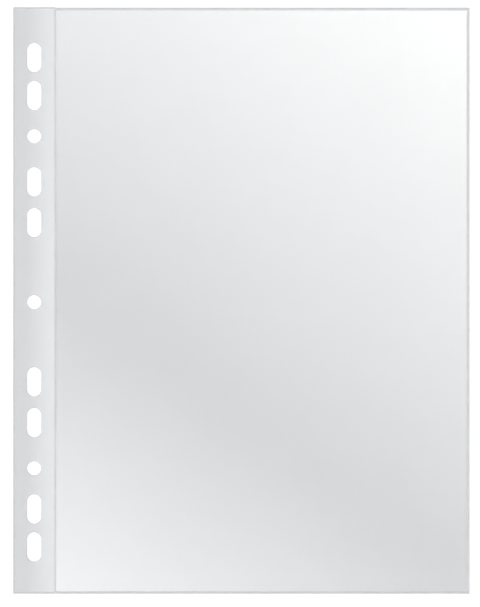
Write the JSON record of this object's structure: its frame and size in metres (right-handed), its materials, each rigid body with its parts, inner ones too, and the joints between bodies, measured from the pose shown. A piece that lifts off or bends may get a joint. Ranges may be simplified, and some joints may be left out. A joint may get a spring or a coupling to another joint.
{
  "type": "sheet protector",
  "caption": "Flat clear plastic pocket for a page, open along the top, with a punched strip for binder rings and a flexible seam that lets the pocket turn.",
  "frame": {"origin": "under the middle of the outline, on the surface that the pocket lies on", "axes": "+X across the page from the punched strip to the closed side, +Y up the page to the open mouth, +Z out of the front film"},
  "size_m": [0.235, 0.302, 0.0004],
  "materials": {
    "strip": "slightly milky polypropylene with a fine satin surface",
    "film": "clear smooth polypropylene film",
    "weld": "hot-sealed bead, denser and duller than the film"
  },
  "bodies": {
    "strip": {"binding_strip": "strip", "strip_weld": "weld"},
    "pocket": {"back_film": "film", "bottom_weld": "weld", "side_weld": "weld"},
    "front": {"front_film": "film"}
  },
  "joints": [
    {"name": "page_turn", "type": "hinge", "parent": "strip", "child": "pocket", "pos_m": [-0.0959, 0, 0.0002], "axis": [0, -1, 0], "range_deg": [0, 90]},
    {"name": "mouth_open", "type": "hinge", "parent": "pocket", "child": "front", "pos_m": [0, -0.14975, 0.00035], "axis": [1, 0, 0], "range_deg": [0, 5], "stiffness_Nm_per_rad": 0.02}
  ]
}
